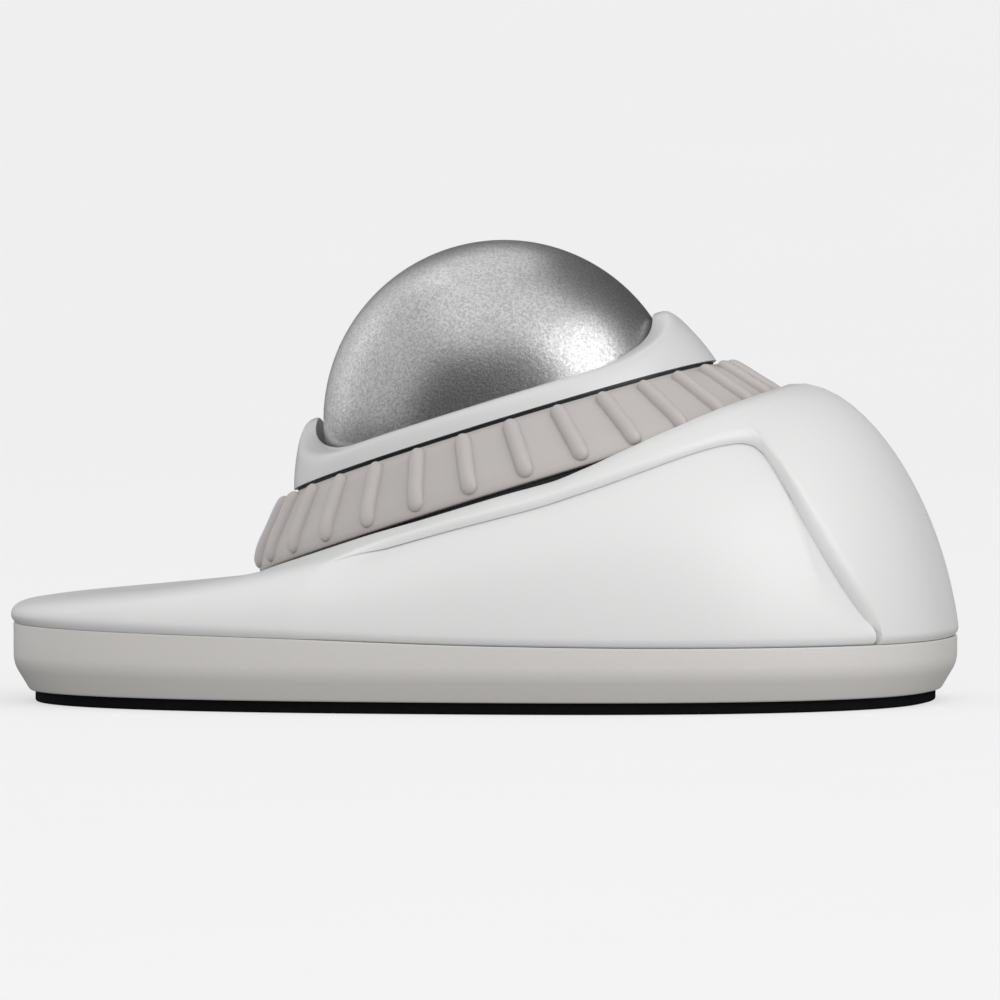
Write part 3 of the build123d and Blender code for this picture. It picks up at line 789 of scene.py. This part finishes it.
def columnCurve(turn):  # from the well's corner to the top of the skirt's roll, even steps
    s = shellShape
    level = edgeLevel(turn)
    start = ringPoint(s["wellRadius"] + s["wellCorner"], turn, level) / mm
    foot = math.radians(between("foot", turn))
    end = skirtPoint(turn, 0)
    end.z = seamLevel(end.y) - s["rollDrop"] + s["rollRadius"] * (1 + math.cos(foot))
    outward = Vector((end.x - start.x, end.y - start.y, 0)).normalized()
    lean = math.radians(between("lean", turn))
    up = Vector((0, 0, 1))
    one = start + (outward * math.cos(lean) - up * math.sin(lean)) * between("reach", turn)
    two = end + (up * math.sin(foot) - outward * math.cos(foot)) * between("footReach", turn)
    raw = []
    for n in range(samples * 2 + 1):
        t = n / samples / 2
        early = start * (1 - t) ** 3 + one * 3 * t * (1 - t) ** 2
        raw.append(early + two * 3 * t * t * (1 - t) + end * t ** 3)
    far = [0]
    for a, b in zip(raw, raw[1:]):
        far.append(far[-1] + (b - a).length)
    even, k = [], 0
    for n in range(samples + 1):
        want = far[-1] * n / samples
        while k < len(far) - 2 and far[k + 1] < want:
            k += 1
        even.append(raw[k].lerp(raw[k + 1], (want - far[k]) / (far[k + 1] - far[k])))
    return even, far[-1], outward, foot


def edgeLevel(turn):
    return easedTable(shellShape["wellEdge"], math.degrees(math.asin(max(min(math.sin(turn), 1), -1))))


def seamLevel(y):  # height of the line between shell and band
    return easedTable(shellShape["seam"], y)


class ShellColumn:
    def __init__(self, turn):
        self.turn = turn
        self.points, self.length, self.outward, self.foot = columnCurve(turn)

    def at(self, along):
        place = min(max(along / self.length, 0), 1) * samples
        k = min(int(place), samples - 1)
        share = place - k
        normal = self.normals[k].lerp(self.normals[k + 1], share).normalized()
        return self.points[k].lerp(self.points[k + 1], share), normal

    def below(self, along, depth):
        point, normal = self.at(along)
        return point - normal * depth


def shellColumns():
    s = shellShape
    columns = [ShellColumn(math.tau * n / s["columns"]) for n in range(s["columns"])]
    for n, column in enumerate(columns):
        before, after = columns[n - 1], columns[(n + 1) % len(columns)]
        column.normals = []
        for k in range(samples + 1):
            along = column.points[min(k + 1, samples)] - column.points[max(k - 1, 0)]
            across = after.points[k] - before.points[k]
            column.normals.append(across.cross(along).normalized())
        if column.normals[0].z < 0:
            column.normals = [-normal for normal in column.normals]
    for column in columns:
        column.edge = column.length
        column.crosses = False
        for k in range(1, samples + 1):
            a, b = column.points[k - 1], column.points[k]
            over = a.z - easedTable(s["stepLine"], a.y)
            under = b.z - easedTable(s["stepLine"], b.y)
            if over > 0 >= under:
                column.edge = column.length * (k - 1 + over / (over - under)) / samples
                column.crosses = True
                break
    rootUp = math.sin(math.radians(s["root"]))
    rootShare = min(columns, key=lambda c: abs(c.turn - math.radians(360 + s["root"])))
    for column in columns:
        column.front = math.sin(column.turn) < rootUp - 1e-6
        if column.front:
            column.edge = column.length * rootShare.edge / rootShare.length
        column.panel = column.crosses and not column.front and column.edge < column.length - 0.6
        if not column.panel and not column.front:
            column.edge = column.length
    for n, column in enumerate(columns):
        before, after = columns[n - 1], columns[(n + 1) % len(columns)]
        spot = column.at(column.edge)[0]
        edgeWay = (after.at(after.edge)[0] - before.at(before.edge)[0]).normalized()
        ownWay = (column.at(column.edge)[0] - column.at(column.edge - 0.3)[0]).normalized()
        column.slant = 1 / max(edgeWay.cross(ownWay).length, 0.3)
        reach = spot.y - 2
        side = s["sideStep"] * smooth(reach, -13, -6)
        column.step = side + s["backStep"] * smooth(reach, 24, 36)
        column.share = column.step / (s["sideStep"] + s["backStep"])
        if column.front:
            column.step = column.share = 0
    return columns


lipRows = (3.0, 2.4, 2.0, 1.65, 1.35, 1.08, 0.84, 0.63, 0.45, 0.3, 0.18, 0.09, 0.03, 0)


def lipDepthAt(column, away):  # how far the deck's edge has rolled down
    depth = column.step - shellShape["lipGap"] * min(column.share * 2, 1)
    narrow, wide = shellShape["lipWidth"]
    width = narrow + (wide - narrow) * smooth(column.step, 1.0, 1.35)
    if not column.panel or depth <= 0 or away >= width:
        return 0
    x = (width - away) / width
    return depth * (1 - math.sqrt(max(1 - x * x, 0)))


def shellLoop(column, cut):
    s = shellShape
    turn, level = column.turn, edgeLevel(column.turn)
    corner = s["wellCorner"]
    outer, inner = [], []
    for drop in (s["wellDepth"], 2.2, 1.0, 0):  # well wall
        height = level - corner - drop
        outer.append(ringPoint(s["wellRadius"], turn, height) / mm)
        inner.append(ringPoint(s["wellWall"], turn, min(height, level - s["thickness"])) / mm)
    for bend in (30, 60):
        a = math.radians(bend)
        radius = s["wellRadius"] + corner * (1 - math.cos(a))
        outer.append(ringPoint(radius, turn, level - corner * (1 - math.sin(a))) / mm)
        inner.append(ringPoint(s["wellWall"], turn, level - s["thickness"]) / mm)
    last = max(column.edge - lipRows[0] * column.slant, column.edge * 0.5)
    alongs = [(last * n / deckRows, None) for n in range(deckRows)]
    squeeze = (column.edge - last) / lipRows[0]
    alongs += [(column.edge - away * squeeze, away) for away in lipRows]
    for along, away in alongs:
        depth = 0 if away is None else lipDepthAt(column, away)
        outer.append(column.below(along, depth))
        inner.append(clampToWell(column, column.below(along, s["thickness"])))
    if cut:  # underside of the lip
        depth = lipDepthAt(column, 0)
        room = (s["tuck"] + 0.5) * min(column.share * 2, 1)
        stepped = room > 0.01
        for n, away in enumerate(lipRows):
            deep = s["thickness"]
            if stepped:
                deep = depth + (s["thickness"] - depth) * smooth(away, room, room + 0.5)
            point = column.below(column.edge - away * squeeze, deep)
            inner[n - len(lipRows)] = clampToWell(column, point) if away > 0 else point
        rest = panelRows + rollRows
        outer += [outer[-1]] * rest
        inner += [inner[-1]] * rest
    else:
        panelOuter, panelInner = panelProfile(column, column.edge, 0, s["thickness"])
        outer += panelOuter[1:]
        inner += panelInner[1:]
    return [p * mm for p in outer + inner[::-1]]


def clampToWell(column, point):  # keeps the inside clear of the well's wall
    s = shellShape
    away = point * mm - ballCentre
    height = away.dot(ringAxis) / mm
    flat = away - ringAxis * away.dot(ringAxis)
    radius = flat.length / mm
    if radius >= s["wellWall"] + 0.01:
        return point
    return ringPoint(s["wellWall"], column.turn, min(height, edgeLevel(column.turn) - s["thickness"])) / mm


def panelProfile(column, start, depth, thickness):  # start of the panel to the end of the roll
    s = shellShape
    outer, inner = [], []
    for n in range(panelRows + 1):
        along = start + (column.length - start) * n / panelRows
        sunk = depth * (1 - s["stepFade"] * smooth(n / panelRows, 0, 1))
        outer.append(column.below(along, sunk))
        inner.append(clampToWell(column, column.below(along, sunk + thickness)))
    top = outer[-1]
    radius = s["rollRadius"]
    fall = column.foot
    centre = top + (column.outward * -math.sin(fall) + Vector((0, 0, -math.cos(fall)))) * radius
    sweep = math.pi - fall
    for n in range(1, rollRows + 1):
        a = math.pi / 2 - fall - sweep * n / rollRows
        spot = centre + (column.outward * math.cos(a) + Vector((0, 0, 1)) * math.sin(a)) * radius
        outer.append(spot)
        low = min(inner[-1].z, max(centre.z - radius, inner[panelRows].z - n * 0.4))
        inner.append(Vector((inner[panelRows].x, inner[panelRows].y, low)))
    inner[-1].z = outer[-1].z
    return outer, inner


def buttonLoop(column):
    s = shellShape
    start = column.edge - s["tuck"] * min(column.share * 2, 1) * column.slant
    outer, inner = panelProfile(column, start, column.step, s["panelThickness"])
    return [p * mm for p in outer + inner[::-1]]


def buildShell():
    columns = shellColumns()
    loops = []
    for n, column in enumerate(columns):
        before, after = columns[n - 1], columns[(n + 1) % len(columns)]
        column.root = column.front and (before.panel or after.panel)
        cuts = [column.panel]
        if column.root:  # the shell ends here in a wall, where the button starts
            cuts = [False, True] if after.panel else [True, False]
        loops += [shellLoop(column, cut) for cut in cuts]
    shell = loopSolid("topShell", loops, sharpAngle=32)
    dress(shell, "shellWhite", "housing", "white_plastic", "top_shell")
    right = [c for c in columns if (c.panel or c.root) and math.cos(c.turn) > 0]
    right.sort(key=lambda c: (c.turn + math.pi) % math.tau)
    loops = [buttonLoop(column) for column in right]
    mirrored = [[Vector((-p.x, p.y, p.z)) for p in loop] for loop in loops]
    sides = (("rightButton", "right_button", loops), ("leftButton", "left_button", mirrored))
    for name, node, sideLoops in sides:
        piece = loopSolid(name, sideLoops, closed=False, sharpAngle=32)
        dress(piece, "shellWhite", None, "white_plastic")
        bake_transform(piece)
        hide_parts(node)
    print("button columns", len(right), "of", len(columns))


buildShell()
print("shell and buttons formed")

# band round the tray and the foot strip
bandShape = {
    "outline": (42.5, 52.0),
    "squareness": 2.5,
    "columns": 320,
    "rim": ((0.13, 0, 0.14), (0.45, 0, 0.06), (0.47, -0.72, 0.1), (3, -0.72, 0.1)),  # from the seam
    "profile": ((3.0, 3.2, 0.1), (2.9, 1.3, 0.2), (1.9, 1.3, 0.25), (0.15, 4.25, 1.0)),
    "strip": ((2.5, 1.35, 0.05), (4.9, 1.35, 0.05), (4.9, 0.0, 0.35), (2.5, 0.0, 0.35)),
}


def ovalPoint(turn, inset, level):
    halfWidth, halfLength = bandShape["outline"]
    power = 2 / bandShape["squareness"]
    across, along = math.cos(turn), math.sin(turn)
    x = math.copysign((halfWidth - inset) * abs(across) ** power, across)
    y = math.copysign((halfLength - inset) * abs(along) ** power, along)
    return Vector((x, y, level)) * mm


def sweep(name, cornersAt, steps):
    loops = []
    for column in range(bandShape["columns"]):
        turn = math.tau * column / bandShape["columns"]
        profile = filleted(cornersAt(turn), steps)
        loops.append([ovalPoint(turn, p.x, p.y) for p in profile])
    return loopSolid(name, loops, sharpAngle=50)


def bandCorners(turn):
    seam = seamLevel(ovalPoint(turn, 0, 0).y / mm)
    return [(inset, seam + drop, r) for inset, drop, r in bandShape["rim"]] + list(bandShape["profile"])


dress(sweep("baseBand", bandCorners, 6), "bandGrey", "housing", "warm_grey_plastic")
strip = sweep("footStrip", lambda turn: bandShape["strip"], 5)
dress(strip, "stripRubber", "housing", "black_rubber", "foot_strip")
print("band and foot strip run round")

# screws
screwShape = {
    "bevel": 0.22,
    "socketDepth": 0.65,
    "socketShare": 0.5,
    "sides": 36,
    "threadPitch": 0.75,
    "threadDepth": 0.12,
    "heads": {2.0: (1.3, 0.95), 1.7: (1.0, 0.75)},  # height and shank radius, by head radius
}


def islands(nodeName):  # boxes of a node's separate solids
    work = bmesh.new()
    work.from_mesh(nodes[nodeName].data)
    bmesh.ops.remove_doubles(work, verts=work.verts, dist=1e-6)
    found, seen = [], set()
    for vert in work.verts:
        if vert.index in seen:
            continue
        stack, group = [vert], []
        seen.add(vert.index)
        while stack:
            here = stack.pop()
            group.append(here.co.copy())
            for edge in here.link_edges:
                other = edge.other_vert(here)
                if other.index not in seen:
                    seen.add(other.index)
                    stack.append(other)
        low = Vector([min(p[n] for p in group) for n in range(3)])
        high = Vector([max(p[n] for p in group) for n in range(3)])
        found.append((low, high))
    work.free()
    return found


def screwMesh(headRadius, headHeight, shankRadius, length):  # head down at the origin, driven upwards
    s = screwShape
    socket = headRadius * s["socketShare"]
    profile = [(0, s["socketDepth"]), (socket * 0.98, s["socketDepth"]), (socket, s["socketDepth"] - 0.05)]
    profile += [(socket, 0.06), (socket + 0.06, 0)]
    for bend in (0, 30, 60, 90):
        a = math.radians(bend)
        profile.append((headRadius - s["bevel"] * (1 - math.sin(a)), s["bevel"] * (1 - math.cos(a))))
    profile += [(headRadius, headHeight - 0.05), (headRadius - 0.05, headHeight), (shankRadius, headHeight)]
    level = headHeight + 0.2
    while level + s["threadPitch"] < headHeight + length - 0.5:
        profile.append((shankRadius - s["threadDepth"], level))
        profile.append((shankRadius, level + s["threadPitch"] / 2))
        level += s["threadPitch"]
    profile += [(shankRadius - 0.3, headHeight + length - 0.2), (0, headHeight + length)]
    loops = []
    for n in range(s["sides"]):
        a = math.tau * n / s["sides"]
        hexTurn = (a + math.pi / 6) % (math.pi / 3) - math.pi / 6
        loop = []
        for k, (r, z) in enumerate(profile):
            reach = r * 0.92 / math.cos(hexTurn) if k in (1, 2, 3) else r
            loop.append(Vector((reach * math.cos(a), reach * math.sin(a), z)) * mm)
        loops.append(loop)
    faces = []
    size = len(profile)
    for a in range(len(loops)):
        b = (a + 1) % len(loops)
        for c in range(size - 1):
            faces.append((a * size + c, b * size + c, b * size + c + 1, a * size + c + 1))
    return makePiece("screwPattern", [p for loop in loops for p in loop], faces, sharpAngle=40)


def buildScrews(tree):
    for nodeName, pieceName, upward in (
        ("shell_screws", "shellScrews", True),
        ("cup_screws", "cupScrews", True),
        ("board_screws", "boardScrews", False),
    ):
        boxes = islands(nodeName)
        low, high = boxes[0]
        headRadius = (high.x - low.x) / 2 / mm
        height = (high.z - low.z) / mm
        heads = screwShape["heads"]
        headHeight, shankRadius = heads[min(heads, key=lambda r: abs(r - headRadius))]
        pattern = screwMesh(headRadius, headHeight, shankRadius, height - headHeight)
        if not upward:
            pattern.data.transform(Matrix.Rotation(math.pi, 4, "X"))
        host = bpy.data.meshes.new(pieceName + "Points")
        level = low.z if upward else high.z
        host.from_pydata([((a.x + b.x) / 2, (a.y + b.y) / 2, level) for a, b in boxes], [], [])
        values = {"Shape": pattern, "Material": paints["zincScrew"]}
        piece = grow(pieceName, tree, host, values)
        finishMesh(piece.data, sharpAngle=40)
        bpy.data.objects.remove(pattern)
        dress(piece, "zincScrew", "housing", "screw_steel", nodeName)


buildScrews(placedTree())
print("screws driven")

# battery spring
springShape = {"turns": 3.6, "wire": 0.3, "narrowing": 1.1}


def buildSpring():
    low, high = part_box("battery_spring")
    middle = (low + high) / 2
    radius = (high.y - low.y) / 2
    wire = springShape["wire"] * mm
    values = {
        "Turns": springShape["turns"],
        "Start Radius": radius - wire,
        "End Radius": radius - wire - springShape["narrowing"] * mm,
        "Height": high.x - low.x - 2 * wire,
        "Wire Radius": wire,
        "Material": paints["springWire"],
    }
    piece = grow("batterySpring", coilTree(), bpy.data.meshes.new("springHost"), values)
    turn = Matrix.Rotation(math.pi / 2, 4, "Y")
    place = Matrix.Translation(Vector((low.x + wire, middle.y, middle.z)))
    piece.data.transform(place @ turn)
    finishMesh(piece.data)
    dress(piece, "springWire", "housing", "radio_shield", "battery_spring")


buildSpring()
print("spring wound")

# camera, light and stage
studio = {
    "azimuth": 101.0,
    "elevation": 1.5,
    "distance": 1.5,
    "lensShare": 324.72,
    "across": 0.42,
    "up": 8.84,
    "aim": (0, 0, 0.03),
    "floorTone": (colour(0.30, 0.30, 0.30), colour(0.29, 0.29, 0.29)),
    "floorGlow": 0.60,
    "floorRun": (  # away from the view, and height
        (-3.0, 0.0), (0.0, 0.0), (1.2, 0.0), (1.45, 0.035), (1.7, 0.15), (1.9, 0.35), (2.0, 0.6), (2.02, 3.0),
    ),
    "floorSide": 4,
    "worldStops": ((-0.5, 0.30), (-0.1, 0.735), (0.05, 0.79), (0.7, 0.90)),  # by height of the direction
    "worldTurn": 0.14,  # brighter towards the right of the view
    "lights": {  # place, size, power, and whether it only shows in reflections
        "front": ((-0.1, 1.6, 0.4), (1.3, 1.3), 4.6, False),
        "frontRight": ((1.2, 1.1, 0.8), (1.3, 1.3), 3.6, False),
        "right": ((1.6, 0.1, 0.5), (1.3, 1.3), 2.8, False),
        "leftCard": ((-0.95, -0.15, 0.6), (1.7, 1.5), 4.9, True),
        "backCard": ((-0.75, -0.9, 0.35), (0.9, 0.9), 1.5, True),
        "highCard": ((-0.15, -0.6, 1.0), (0.8, 0.8), 1.8, True),
        "topCard": ((0.0, 0.3, 1.1), (1.3, 1.1), 4.2, True),
        "rightCard": ((0.85, 0.34, 0.6), (0.85, 0.85), 5.4, True),
    },
}


def aroundObject(across, nearer, up):  # metres right of, towards and above the view
    az = math.radians(studio["azimuth"])
    right = Vector((math.cos(az), math.sin(az), 0))
    return right * across + Vector((math.sin(az), -math.cos(az), 0)) * nearer + Vector((0, 0, up))


def buildCamera():
    s = studio
    az, el = math.radians(s["azimuth"]), math.radians(s["elevation"])
    look = Vector((-math.sin(az) * math.cos(el), math.cos(az) * math.cos(el), -math.sin(el)))
    right = Vector((math.cos(az), math.sin(az), 0))
    up = right.cross(look)
    target = ballCentre - right * s["across"] * mm - up * s["up"] * mm
    data = bpy.data.cameras.new("viewCamera")
    data.sensor_width = 36
    data.lens = s["lensShare"] * s["distance"]
    data.clip_end = 20
    camera = bpy.data.objects.new("viewCamera", data)
    scene.collection.objects.link(camera)
    turned = Matrix((right, up, -look)).transposed().to_4x4()
    camera.matrix_world = Matrix.Translation(target - look * s["distance"]) @ turned
    scene.camera = camera


def softLight(name, place, size, power, card):
    data = bpy.data.lights.new(name, "AREA")
    data.shape = "RECTANGLE"
    data.size, data.size_y = size
    data.energy = power
    lamp = bpy.data.objects.new(name, data)
    lamp.visible_glossy = card
    lamp.visible_diffuse = not card
    lamp.visible_camera = False
    scene.collection.objects.link(lamp)
    away = (Vector(studio["aim"]) - place).normalized()
    lamp.rotation_euler = away.to_track_quat("-Z", "Y").to_euler()
    lamp.location = place


def buildStage():
    s = studio
    paint = Paint("stagePaper")
    fibre = paint.noise(30, 2)
    paper = paint.finish({
        "Base Color": paint.mix(fibre, *s["floorTone"]),
        "Roughness": 1.0,
        "Specular IOR Level": 0.0,
        "Emission Color": colour(1, 1, 1),
        "Emission Strength": s["floorGlow"],
    })
    run = s["floorRun"]
    size = len(run)
    points = [aroundObject(side, -far, up) for side in (-s["floorSide"], s["floorSide"]) for far, up in run]
    faces = [(n, n + 1, n + 1 + size, n + size) for n in range(size - 1)]
    floor = makePiece("stagePaper", points, faces, recalc=False)
    if floor.data.polygons[0].normal.z < 0:
        floor.data.flip_normals()
    floor.data.materials.append(paper)
    floor.visible_diffuse = False
    floor.visible_glossy = False


def buildWorld():
    world = bpy.data.worlds.new("studioWorld")
    world.use_nodes = True
    tree = world.node_tree
    back = tree.nodes["Background"]
    way = tree.nodes.new("ShaderNodeTexCoord")
    parts = tree.nodes.new("ShaderNodeSeparateXYZ")
    level = tree.nodes.new("ShaderNodeMapRange")
    level.inputs["From Min"].default_value = -1
    level.inputs["From Max"].default_value = 1
    glow = tree.nodes.new("ShaderNodeValToRGB")
    for n, (height, strength) in enumerate(studio["worldStops"]):
        stop = glow.color_ramp.elements[n] if n < 2 else glow.color_ramp.elements.new(1)
        stop.position = (height + 1) / 2
        stop.color = (strength, strength, strength, 1)
    side = tree.nodes.new("ShaderNodeVectorMath")
    side.operation = "DOT_PRODUCT"
    side.inputs[1].default_value = aroundObject(1, 0, 0)
    share = tree.nodes.new("ShaderNodeMath")
    share.operation = "MULTIPLY_ADD"
    share.inputs[1].default_value = studio["worldTurn"]
    share.inputs[2].default_value = 1
    whole = tree.nodes.new("ShaderNodeMath")
    whole.operation = "MULTIPLY"
    tree.links.new(way.outputs["Generated"], parts.inputs[0])
    tree.links.new(way.outputs["Generated"], side.inputs[0])
    tree.links.new(parts.outputs[2], level.inputs[0])
    tree.links.new(level.outputs[0], glow.inputs[0])
    tree.links.new(side.outputs["Value"], share.inputs[0])
    tree.links.new(share.outputs[0], whole.inputs[0])
    tree.links.new(glow.outputs[0], whole.inputs[1])
    tree.links.new(whole.outputs[0], back.inputs[1])
    back.inputs[0].default_value = (1, 1, 1, 1)
    world.cycles_visibility.glossy = False
    scene.world = world


buildCamera()
buildStage()
buildWorld()
for name, (place, size, power, card) in studio["lights"].items():
    softLight(name, aroundObject(*place), size, power, card)
scene.view_settings.view_transform = "Standard"
print("studio lit")
